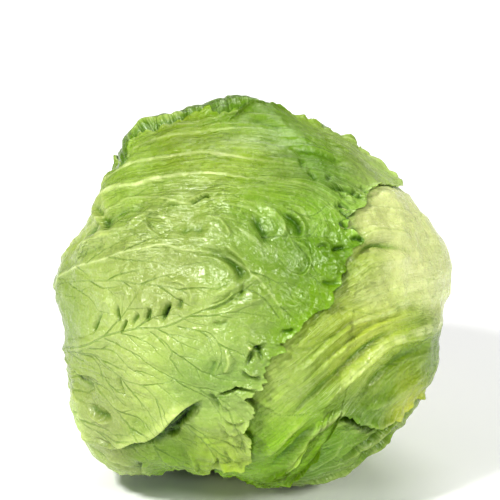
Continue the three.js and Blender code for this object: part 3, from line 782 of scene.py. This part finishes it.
class Sheet:
    """A wrapper leaf's surface: where its points are, their relief and their colours."""

    def __init__(self, index, leaf):
        self.leaf = leaf
        self.spread_points()
        self.read_layers()
        self.shape_tissue()
        self.raise_surface(index)

    def spread_points(self):
        """Rings of points from the leaf's middle out to its toothed edge."""
        leaf = self.leaf
        fine = 3 * leaf.spokes
        turns = np.linspace(0, 2 * math.pi, fine, endpoint=False)
        edge = np.interp(turns, leaf.turns, leaf.edge, period=2 * math.pi)
        rim = leaf.direction(edge * np.cos(turns), edge * np.sin(turns))
        gaps = np.degrees(np.arccos(np.clip(np.sum(rim * np.roll(rim, -1, axis=0), -1), -1, 1)))
        seen = 1 + 1.2 * smoothstep(-0.3, 0.2, rim[:, 2])  # more spokes where the edge is in front
        weight = np.cumsum((gaps + 0.25 * gaps.mean()) * seen)
        picks = np.interp(np.linspace(0, weight[-1], leaf.spokes, endpoint=False),
                          np.concatenate([[0], weight]), np.linspace(0, 2 * math.pi, fine + 1))
        edge = np.interp(picks, leaf.turns, leaf.edge, period=2 * math.pi)
        rim = leaf.direction(edge * np.cos(picks), edge * np.sin(picks))
        free = smoothstep(-0.93, -0.75, rim[:, 2])  # no teeth where the leaf joins the stem
        teeth = (1.0 * noise(rim * 26, 5) + 0.75 * noise(rim * 62, 6) + 0.3 * noise(rim * 130, 7)) * free
        edge = edge + teeth

        # rings follow the leaf's rough outline in the middle, and every tooth at the edge
        shifts = np.radians(np.arange(-30, 31))
        bell = np.exp(-2 * (shifts / 0.25) ** 2)
        rough = sum(part * np.interp(picks + shift, leaf.turns, leaf.edge, period=2 * math.pi)
                    for shift, part in zip(shifts, bell / bell.sum()))
        rough = np.minimum(rough, 1.4 * edge)
        share = np.linspace(0, 1, leaf.rings + 1)[1:, None]
        reach = share * rough + share ** 3 * (edge - rough)
        x, y = reach * np.cos(picks), reach * np.sin(picks)
        self.x, self.y = np.concatenate([[0.0], x.ravel()]), np.concatenate([[0.0], y.ravel()])
        self.inside = np.concatenate([[edge.mean()], (edge[None, :] - reach).ravel()])
        self.loose = np.concatenate([[1.0], np.tile(free, leaf.rings)])
        self.d = leaf.direction(self.x, self.y)
        self.away = np.degrees(np.arccos(np.clip(self.d[:, 2], -1, 1)))

    def read_layers(self):
        for layer in ("relief", "near", "vein", "rib", "hollow", "ink"):
            setattr(self, layer, self.leaf.sample(layer, self.x, self.y))

    def shape_tissue(self):
        """The broad swells, the crumpling and the pleats that run along the tissue."""
        leaf, d = self.leaf, self.d
        self.across, self.run_along = leaf.flow(self.x, self.y)
        self.swell = 1.0 * noise(d * 3.1, leaf.seed) + 0.8 * noise(d * 7.3, leaf.seed + 1)
        folded = (0.8 * np.abs(noise(d * 8, leaf.seed + 2)) + 0.45 * np.abs(noise(d * 19, leaf.seed + 3))
                  + 0.16 * noise(d * 40, leaf.seed + 6) - 0.35)
        broad, narrow = [
            np.abs(noise(np.stack([self.across * wide, self.run_along * long, 0 * self.across], -1), seed))
            for wide, long, seed in ((0.30, 0.04, leaf.seed + 4), (0.85, 0.08, leaf.seed + 5))]
        self.pleat = 1.1 * broad + 0.45 * narrow - 0.45
        self.crumple = folded + leaf.pleats * self.pleat * smoothstep(30, 70, self.run_along)

    def raise_surface(self, index):
        """How far each point is from the head's centre, and how shaded it is."""
        d, ink = self.d, self.ink
        beside = 0.6 * smoothstep(0.1, 2.4, self.near) * (0.4 + 0.6 * np.abs(ink))
        pucker = beside - 0.14 * ink * np.exp(-(self.vein / 1.2) ** 2)
        depth, self.shade, covered = depth_under(index, d)
        ruffle = np.exp(-self.inside / 2.6) * self.loose
        frill = ruffle * (1.5 + 1.8 * noise(d * 15, 40) + 1.1 * noise(d * 36, 41)) * (1 - covered)
        relief = self.relief + 1.4 * self.rib * smoothstep(100, 150, self.away)
        lift = relief + self.swell + self.crumple + pucker + frill - 1.2 - 0.8 * covered
        held = np.clip((depth - 2.0) / 2, 0, 1)
        self.radius = head_radius(d) - depth + lift * (1 - held)

    def place(self, radius, inward):
        """Points in metres, flattened softly where the head rests on the floor."""
        p = CENTRE + ((radius - inward)[:, None] * self.d) @ AXES
        floor = FLOOR_GAP + inward
        p[:, 2] = floor + 0.5 * ((p[:, 2] - floor) + np.sqrt((p[:, 2] - floor) ** 2 + FLOOR_SOFTNESS))
        return p / 1000

    def mesh(self):
        """The outer skin, a coarser inner skin, and the wall between them at the edge."""
        rings, spokes = self.leaf.rings, self.leaf.spokes
        outer = self.place(self.radius, np.zeros(len(self.d)))
        skin = self.radius[1:].reshape(rings, spokes)
        low = skin
        for step in (1, 2, 4):  # the inner skin stays under the lowest part of the outer one nearby
            low = np.minimum(low, np.minimum(np.roll(low, step, 0), np.roll(low, -step, 0)))
        low[:8], low[-8:] = skin[:8], skin[-8:]
        blade = (EDGE_BLADE + (BLADE - EDGE_BLADE) * smoothstep(0, 3, self.inside)
                 + RIB_BLADE * np.clip(self.rib, 0, 1))
        inner = self.place(np.concatenate([self.radius[:1], low.ravel()]), blade)
        kept = sorted(set(range(rings, rings - 12, -1)) | set(range(rings - 12, 4, -12)))
        inner_index = np.concatenate(
            [[0]] + [1 + (ring - 1) * spokes + np.arange(spokes) for ring in kept])
        self.every = np.concatenate([np.arange(len(outer)), inner_index])

        spoke = np.arange(spokes)
        after = (spoke + 1) % spokes
        start = len(outer)
        last_out, last_in = 1 + (rings - 1) * spokes, start + 1 + (len(kept) - 1) * spokes
        wall = np.stack([last_out + spoke, last_in + spoke, last_in + after, last_out + after], -1)
        quads = np.concatenate([bands(1, rings, spokes), bands(start + 1, len(kept), spokes)[:, ::-1], wall])
        caps = np.concatenate([
            np.stack([0 * spoke, 1 + spoke, 1 + after], -1),
            np.stack([0 * spoke + start, start + 1 + after, start + 1 + spoke], -1)])
        return new_mesh(self.leaf.name, np.concatenate([outer, inner[inner_index]]), quads, caps)

    def paint(self, mesh):
        """Writes what the material reads: the colour, with its painted shade and painted light, the veins
        and how the tissue runs.
        """
        leaf, d = self.leaf, self.d
        fx, fy = on_face(d)
        tint = blend_colours(COLOURS[leaf.name], fx + 5 * noise(d * 5, 71), fy + 5 * noise(d * 5, 72), 13)
        base = smoothstep(95, 165, self.away) * (0.42 + 0.58 * np.clip(1.3 * self.rib, 0, 1))
        tint = toward(tint, WHITE_BASE, base)
        mottle = 1 + 0.04 * noise(d * 9, 73) + 0.04 * noise(d * 26, 74) + 0.08 * self.pleat
        tint = tint * mottle[:, None]
        # painted shade from the relief: hollows and low crumpling are darkened, narrow creases most
        shading_relief = self.hollow + 0.45 * self.crumple + 0.1 * self.swell
        tint = toward(tint, tint * PAINTED_SHADE, smoothstep(-0.35, -1.8, shading_relief))
        tint = toward(tint, tint * PAINTED_DEEP_SHADE, smoothstep(-1.7, -3.0, shading_relief))
        # painted highlight: raised crests are lightened
        tint = toward(tint, PAINTED_CREST_LIGHT, 0.28 * smoothstep(0.6, 2.2, shading_relief))
        # painted shadow: the leaf is darkened along the edges of the leaves outside it, most right at the
        # edge
        shade = self.shade * smoothstep(-0.9, 0.7, noise(d * 11, 75) + 0.5 * noise(d * 27, 76))
        tint = toward(tint, tint * PAINTED_SHADE, 0.9 * shade)
        tint = toward(tint, tint * PAINTED_DEEP_SHADE, 0.6 * smoothstep(0.6, 1.0, shade))
        # painted light: the leaf's free margin is lightened where it catches the light
        tint = tint * (1 + 0.22 * np.exp(-self.inside / 0.6) * self.loose)[:, None]
        streaky = leaf.calm(fx, fy) if leaf is left_leaf else np.full(len(d), leaf.pleats)
        write_tint(mesh, tint[self.every])
        for name, values in (("vein", self.vein), ("rib", np.clip(self.rib, 0, 1)),
                             ("ink", self.ink), ("streaky", streaky)):
            mesh.attributes.new(name, "FLOAT", "POINT").data.foreach_set(
                "value", values[self.every].astype(np.float32))
        run = np.stack([self.across, self.run_along, 0 * self.across], -1)[self.every]
        mesh.attributes.new("run", "FLOAT_VECTOR", "POINT").data.foreach_set(
            "vector", run.astype(np.float32).ravel())


def toward(a, b, part):
    """Colours a moved to b by a part of the way for each row."""
    return a + (b - a) * part[..., None]


def bands(first, count, spokes):
    """The quads between rings of points that follow each other."""
    ring, spoke = np.meshgrid(np.arange(count - 1), np.arange(spokes), indexing="ij")
    a, b = first + ring * spokes + spoke, first + ring * spokes + (spoke + 1) % spokes
    return np.stack([a, a + spokes, b + spokes, b], -1).reshape(-1, 4)


def new_mesh(name, vertices, quads, triangles):
    """A smooth mesh, written as whole arrays because the leaves are large."""
    mesh = bpy.data.meshes.new(name)
    mesh.vertices.add(len(vertices))
    mesh.vertices.foreach_set("co", vertices.ravel())
    loops = np.concatenate([quads.ravel(), triangles.ravel()])
    mesh.loops.add(len(loops))
    mesh.loops.foreach_set("vertex_index", loops.astype(np.int32))
    starts = np.concatenate([np.arange(len(quads)) * 4, len(quads) * 4 + np.arange(len(triangles)) * 3])
    mesh.polygons.add(len(starts))
    mesh.polygons.foreach_set("loop_start", starts.astype(np.int32))
    mesh.update(calc_edges=True)
    mesh.validate()
    mesh.polygons.foreach_set("use_smooth", np.ones(len(mesh.polygons), bool))
    return mesh


def write_tint(mesh, tint):
    values = np.concatenate([np.clip(tint, 0, 1), np.ones((len(tint), 1))], 1)
    mesh.attributes.new("tint", "FLOAT_COLOR", "POINT").data.foreach_set(
        "color", values.astype(np.float32).ravel())


def make_leaf(index, leaf, material):
    sheet = Sheet(index, leaf)
    mesh = sheet.mesh()
    sheet.paint(mesh)
    piece = bpy.data.objects.new(leaf.name + "_detailed", mesh)
    bpy.context.scene.collection.objects.link(piece)
    mesh.materials.append(material)
    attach(piece, "root")
    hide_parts(leaf.name)


# ---------------------------------------------------------------- materials
class Nodes:
    """Short ways to add nodes to a material."""

    def __init__(self, name):
        self.material = bpy.data.materials.new(name)
        self.material.use_nodes = True
        self.tree = self.material.node_tree
        self.shader = self.tree.nodes["Principled BSDF"]

    def add(self, kind, **settings):
        node = self.tree.nodes.new(kind)
        for key, value in settings.items():
            setattr(node, key, value)
        return node

    def put(self, socket, value):
        if isinstance(value, bpy.types.NodeSocket):
            self.tree.links.new(value, socket)
        else:
            socket.default_value = value

    def fill(self, node, values):
        """Sets or links several inputs, by name or number, and gives the first output."""
        for key, value in values.items():
            self.put(node.inputs[key], value)
        return node.outputs[0]

    def math(self, operation, a, b=0.0):
        return self.fill(self.add("ShaderNodeMath", operation=operation), {0: a, 1: b})

    def times(self, a, b):
        return self.math("MULTIPLY", a, b)

    def ramp(self, value, low, high, to_low=0.0, to_high=1.0):
        node = self.add("ShaderNodeMapRange", interpolation_type="SMOOTHSTEP")
        return self.fill(node, dict(enumerate((value, low, high, to_low, to_high))))

    def mix(self, factor, a, b, blend="MIX"):
        node = self.add("ShaderNodeMix", data_type="RGBA", blend_type=blend)
        self.fill(node, {0: factor, 6: a, 7: b})
        return node.outputs[2]

    def glaze(self, base, mask, amount, over):
        """Lays a colour over the base where the mask is."""
        return self.mix(self.times(mask, amount), base, (*over, 1))

    def darken(self, base, mask, amount, by):
        """Multiplies the base by a colour where the mask is."""
        return self.mix(self.times(mask, amount), base, self.mix(1.0, base, (*by, 1), "MULTIPLY"))

    def stretch(self, vector, by):
        return self.fill(self.add("ShaderNodeVectorMath", operation="MULTIPLY"), {0: vector, 1: by})

    def noise(self, scale, detail=2.0, vector=None, roughness=0.5, output="Fac"):
        node = self.add("ShaderNodeTexNoise")
        self.fill(node, {"Vector": vector or self.place(), "Scale": scale, "Detail": detail,
                         "Roughness": roughness})
        return node.outputs[output]

    def place(self):
        return self.add("ShaderNodeTexCoord").outputs["Object"]

    def warped(self, scale, amount):
        shift = self.add("ShaderNodeVectorMath", operation="MULTIPLY_ADD")
        return self.fill(shift, {0: self.noise(scale, output="Color"), 1: (amount,) * 3, 2: self.place()})

    def attribute(self, name, output="Fac"):
        return self.add("ShaderNodeAttribute", attribute_name=name).outputs[output]

    def finish(self, surface, height, strength, distance):
        """Fills in the shader's inputs and the bump."""
        bump = self.add("ShaderNodeBump")
        normal = self.fill(bump, {"Strength": strength, "Distance": distance, "Height": height})
        self.fill(self.shader, {**surface, "Normal": normal})
        return self.material


def leaf_material(name):
    n = Nodes(name)
    tint, ink, vein = n.attribute("tint", "Color"), n.attribute("ink"), n.attribute("vein")

    # veins that are drawn dark where ink is above 0 and pale where it is below
    line = n.math("MAXIMUM", n.times(n.ramp(vein, 0.5, 1.5, 1.0, 0.0), ink), 0.0)
    pale = n.math("MAXIMUM", n.times(n.ramp(vein, 0.4, 2.1, 1.0, 0.0), n.times(ink, -1.0)), 0.0)
    halo = n.times(n.ramp(vein, 1.5, 5.0, 1.0, 0.0), n.math("ABSOLUTE", ink))

    # streaks along the tissue: broad ones, and thin lines where a stretched noise crosses its
    # middle. They are weaker on pale and on calm tissue.
    run = n.attribute("run", "Vector")
    wide = n.noise(1.0, 3, n.stretch(run, (0.9, 0.06, 1)))
    fine = n.noise(1.0, 3, n.stretch(run, (2.6, 0.13, 1)))
    streak = n.math("ADD", n.times(wide, 0.5), n.times(fine, 0.5))
    lightness = n.fill(n.add("ShaderNodeRGBToBW"), {0: tint})
    strong = n.times(n.ramp(lightness, 0.35, 0.62, 1.0, 0.35),
                     n.ramp(n.attribute("streaky"), 0.0, 1.0, 0.22, 1.0))
    dark_streak = n.times(n.ramp(streak, 0.38, 0.5, 1.0, 0.0), strong)
    pale_streak = n.times(n.ramp(streak, 0.52, 0.64), strong)
    patches = n.ramp(n.noise(45, 3), 0.42, 0.62)
    patches = n.math("ADD", n.times(patches, 0.75), 0.25)
    thread = n.ramp(n.math("ABSOLUTE", n.math("SUBTRACT", fine, 0.5)), 0.0, 0.022, 1.0, 0.0)
    thread = n.times(n.times(thread, patches), strong)
    # painted highlight: thin bright lines along the tissue, broken into patches
    painted_shine = n.ramp(n.math("ABSOLUTE", n.math("SUBTRACT", fine, 0.545)), 0.0, 0.022, 1.0, 0.0)
    painted_shine = n.times(n.times(painted_shine, n.ramp(n.noise(60, 3), 0.5, 0.68)), strong)

    # the net of the smallest veins
    cells = n.add("ShaderNodeTexVoronoi", feature="DISTANCE_TO_EDGE")
    n.fill(cells, {"Vector": n.warped(260, 0.0022), "Scale": 430})
    net = n.ramp(cells.outputs["Distance"], 0.0, 0.16, 1.0, 0.0)

    mottle = n.ramp(n.noise(70, 4), 0.3, 0.7)
    creased = n.noise(620, 3, n.warped(120, 0.004), 0.6)
    base = n.darken(tint, mottle, 0.18, (0.80, 0.90, 0.66))
    # painted shade in the grooves of the fine crumpling and painted highlight on its crests, from the noise
    # that bumps it
    base = n.darken(base, n.ramp(creased, 0.34, 0.52, 1.0, 0.0), 0.1, (0.66, 0.80, 0.50))
    base = n.glaze(base, n.ramp(creased, 0.52, 0.70), 0.08, (0.78, 0.88, 0.46))
    base = n.darken(base, net, 0.10, (0.62, 0.76, 0.5))
    base = n.darken(base, dark_streak, 0.24, (0.60, 0.76, 0.40))
    base = n.glaze(base, pale_streak, 0.16, (0.74, 0.84, 0.46))
    # painted highlight along the tissue
    base = n.glaze(base, painted_shine, 0.35, (0.82, 0.90, 0.66))
    base = n.darken(base, thread, 0.6, (0.46, 0.62, 0.28))
    # painted highlight: a faint lighter band beside each vein
    base = n.glaze(base, halo, 0.10, (0.66, 0.78, 0.30))
    broken = n.math("ADD", n.times(n.ramp(n.noise(190, 3), 0.44, 0.62), 0.45), 0.2)
    base = n.glaze(base, n.ramp(n.attribute("rib"), 0.35, 1.0), broken, (0.74, 0.80, 0.40))
    base = n.glaze(base, pale, 0.5, (0.74, 0.84, 0.42))
    base = n.darken(base, line, 0.9, (0.36, 0.50, 0.16))

    pockets = n.noise(85, 2, n.warped(60, 0.006), 0.4)
    height = 0.0
    for part, amount in ((line, -0.6), (pale, 0.6), (halo, 0.3), (net, -0.14),
                         (n.times(streak, strong), 3.2), (thread, -0.4), (n.noise(900, 3), 0.2),
                         (creased, 0.5), (pockets, 2.0)):
        height = n.math("ADD", height, n.times(part, amount))
    surface = {
        "Base Color": base, "Roughness": n.ramp(n.noise(160, 3), 0.3, 0.7, 0.18, 0.3),
        "Specular IOR Level": 0.5, "Coat Weight": 0.12, "Coat Roughness": 0.24,
        "Subsurface Weight": 0.05, "Subsurface Radius": (0.5, 1.0, 0.2), "Subsurface Scale": 0.002,
    }
    return n.finish(surface, height, 0.8, 0.0006)


def pith_material(name, low, high, scale):
    """Pale wet tissue, mottled between two colours."""
    n = Nodes(name)
    streaks = n.noise(scale, 5, roughness=0.6)
    surface = {
        "Base Color": n.mix(n.ramp(streaks, 0.3, 0.7), (*low, 1), (*high, 1)),
        "Roughness": n.ramp(n.noise(scale * 2), 0.3, 0.7, 0.35, 0.55),
        "Subsurface Weight": 0.15, "Subsurface Radius": (1.0, 0.8, 0.4), "Subsurface Scale": 0.003,
    }
    return n.finish(surface, streaks, 0.5, 0.0006)


def stem_material(name):
    n = Nodes(name)
    specks = n.noise(420, 4, roughness=0.6)
    surface = {
        "Base Color": n.darken(n.attribute("tint", "Color"), n.ramp(specks, 0.35, 0.62, 0.5, 0.0), 1.0,
                               (0.74, 0.64, 0.46)),
        "Roughness": n.ramp(n.noise(300), 0.3, 0.7, 0.38, 0.6),
        "Subsurface Weight": 0.1, "Subsurface Radius": (1.0, 0.8, 0.4), "Subsurface Scale": 0.002,
    }
    return n.finish(surface, specks, 0.6, 0.0005)


# ---------------------------------------------------------------- the stem
def make_stem(material):
    """The cut stem, with the bases of its leaves swelling around it."""
    count = 240
    profile = spline([
        (0, 78.0), (3, 78.3), (6, 78.6), (9, 78.9), (11.2, 79.0), (12.2, 78.7), (12.7, 77.9),
        (12.9, 76.9), (13.5, 75.9), (15, 75.8), (17.5, 75.4), (20, 73.9), (23, 71.2), (22, 69),
        (12, 66), (9.5, 40), (3, 8)], 6)
    far, deep = profile[1:, 0][:, None], profile[1:, 1][:, None]
    turn = np.linspace(0, 2 * math.pi, count, endpoint=False)[None, :]
    spot = np.stack(np.broadcast_arrays(np.cos(turn) * far / 12, np.sin(turn) * far / 12, deep / 12), -1)
    collar = smoothstep(12.6, 14.5, far) * smoothstep(60, 68, deep)
    lumps = 0 * spot[..., 0]
    for k in range(11):
        apart = np.degrees(np.abs((turn - math.radians(137.5 * k) + math.pi) % (2 * math.pi) - math.pi))
        lumps = np.maximum(lumps, np.exp(-(apart / 26) ** 2 - ((far - 14.2 - 0.55 * k) / 1.9) ** 2))
    face_part = 1 - smoothstep(11.4, 12.6, far)
    ring = np.exp(-((far - 8.3 - 0.5 * noise(spot * 2, 91)) / 1.0) ** 2) * (deep > 77)
    rough = 0.35 * noise(spot * 4, 92) + 0.2 * noise(spot * 11, 93) + 0.1 * noise(spot * 26, 94)
    cracks = (np.abs(noise(spot * 5, 95)) < 0.05) * (far < 8)
    shift = rough + collar * (2.1 * lumps - 0.9) - (0.25 * ring + 0.35 * cracks) * face_part
    widen = 1 + 0.05 * noise(spot * (1.0, 1.0, 0.2), 96) + 0.012 * noise(spot * (6, 6, 0.8), 97)
    back = -(deep + shift * (deep > 60))
    p = np.stack([far * widen * np.cos(turn), far * widen * np.sin(turn), back], -1)
    p = np.concatenate([[[0, 0, -profile[0, 1]]], p.reshape(-1, 3), [[0, 0, -8]]])
    rings = len(far)
    at, last = np.arange(count), 1 + (rings - 1) * count
    after = (at + 1) % count
    caps = np.concatenate([
        np.stack([1 + after, 1 + at, 0 * at], -1),
        np.stack([last + at, last + after, 0 * at + len(p) - 1], -1)])
    mesh = new_mesh("stem", (CENTRE + p @ AXES) / 1000, bands(1, rings, count)[:, ::-1], caps)
    cut = toward(colour(224, 208, 164), colour(190, 158, 112), ring)
    cut = cut * (1 + 0.12 * noise(spot * 8, 98))[..., None]
    skin = toward(colour(206, 210, 158), colour(240, 238, 212), lumps)
    tint = toward(cut, skin, smoothstep(12.4, 13.4, far))
    bark = np.exp(-((far - 12.6) / 0.7) ** 2) * (0.6 + 0.3 * noise(spot * 6, 99))
    tint = toward(tint, colour(164, 132, 92), bark)
    tint = toward(tint, colour(150, 136, 92), 0.6 * collar * smoothstep(0.35, 0.0, lumps))
    write_tint(mesh, np.concatenate([[tint[0, 0]], tint.reshape(-1, 3), [tint[-1, 0]]]))
    piece = bpy.data.objects.new("stem_detailed", mesh)
    bpy.context.scene.collection.objects.link(piece)
    mesh.materials.append(material)
    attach(piece, "root")
    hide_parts("stem")


# ---------------------------------------------------------------- the pieces
leaf_look = leaf_material("leaf_blade")
for index, leaf in enumerate(WRAPPERS):
    make_leaf(index, leaf, leaf_look)
make_stem(stem_material("stem_tissue"))
inner_look = pith_material("inner_blade", colour(200, 216, 138), colour(222, 228, 168), 60)
heart_look = pith_material("heart_tissue", colour(226, 228, 170), colour(240, 238, 196), 50)
for name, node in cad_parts.items():
    if name.startswith("inner_leaf") or name == "heart":
        look = heart_look if name == "heart" else inner_look
        node.data.materials.clear()
        node.data.materials.append(look)

# ---------------------------------------------------------------- floor, light and camera
floor_mesh = bpy.data.meshes.new("floor")
floor_mesh.from_pydata([(-4, -4, 0), (4, -4, 0), (4, 4, 0), (-4, 4, 0)], [], [(0, 1, 2, 3)])
floor = bpy.data.objects.new("floor", floor_mesh)
bpy.context.scene.collection.objects.link(floor)
pale = Nodes("pale_floor")
pale.put(pale.shader.inputs["Base Color"], (0.93, 0.93, 0.93, 1))
pale.put(pale.shader.inputs["Roughness"], 0.7)
floor_mesh.materials.append(pale.material)

world = bpy.data.worlds.new("studio")
world.use_nodes = True
world.node_tree.nodes["Background"].inputs[0].default_value = (1, 1, 1, 1)
world.node_tree.nodes["Background"].inputs[1].default_value = 0.21
bpy.context.scene.world = world


def area_light(name, position, size, energy):
    light = bpy.data.lights.new(name, "AREA")
    light.shape = "DISK"
    light.size, light.energy = size, energy
    lamp = bpy.data.objects.new(name, light)
    bpy.context.scene.collection.objects.link(lamp)
    lamp.location = position
    lamp.rotation_mode = "QUATERNION"
    aim = np.array([0, 0, 0.07]) - np.array(position)
    lamp.rotation_quaternion = Vector(aim).to_track_quat("-Z", "Y")


area_light("key", (-0.62, -0.6, 1.05), 0.18, 11)
area_light("side", (-1.0, -0.75, 0.4), 0.22, 3)
area_light("fill", (0.85, -0.8, 0.75), 0.35, 7.5)
area_light("back", (0.1, 0.9, 0.9), 0.8, 5)

camera = bpy.data.objects.new("camera", bpy.data.cameras.new("camera"))
bpy.context.scene.collection.objects.link(camera)
camera.data.sensor_width = 36
camera.data.lens = 171
target = CENTRE + UP * 19.8 - RIGHT * 0.8
camera.location = (target + OUT * 1000) / 1000
camera.rotation_mode = "QUATERNION"
camera.rotation_quaternion = Vector(-OUT).to_track_quat("-Z", "Y")
bpy.context.scene.camera = camera
bpy.context.scene.view_settings.view_transform = "Standard"
bpy.context.scene.view_settings.look = "High Contrast"
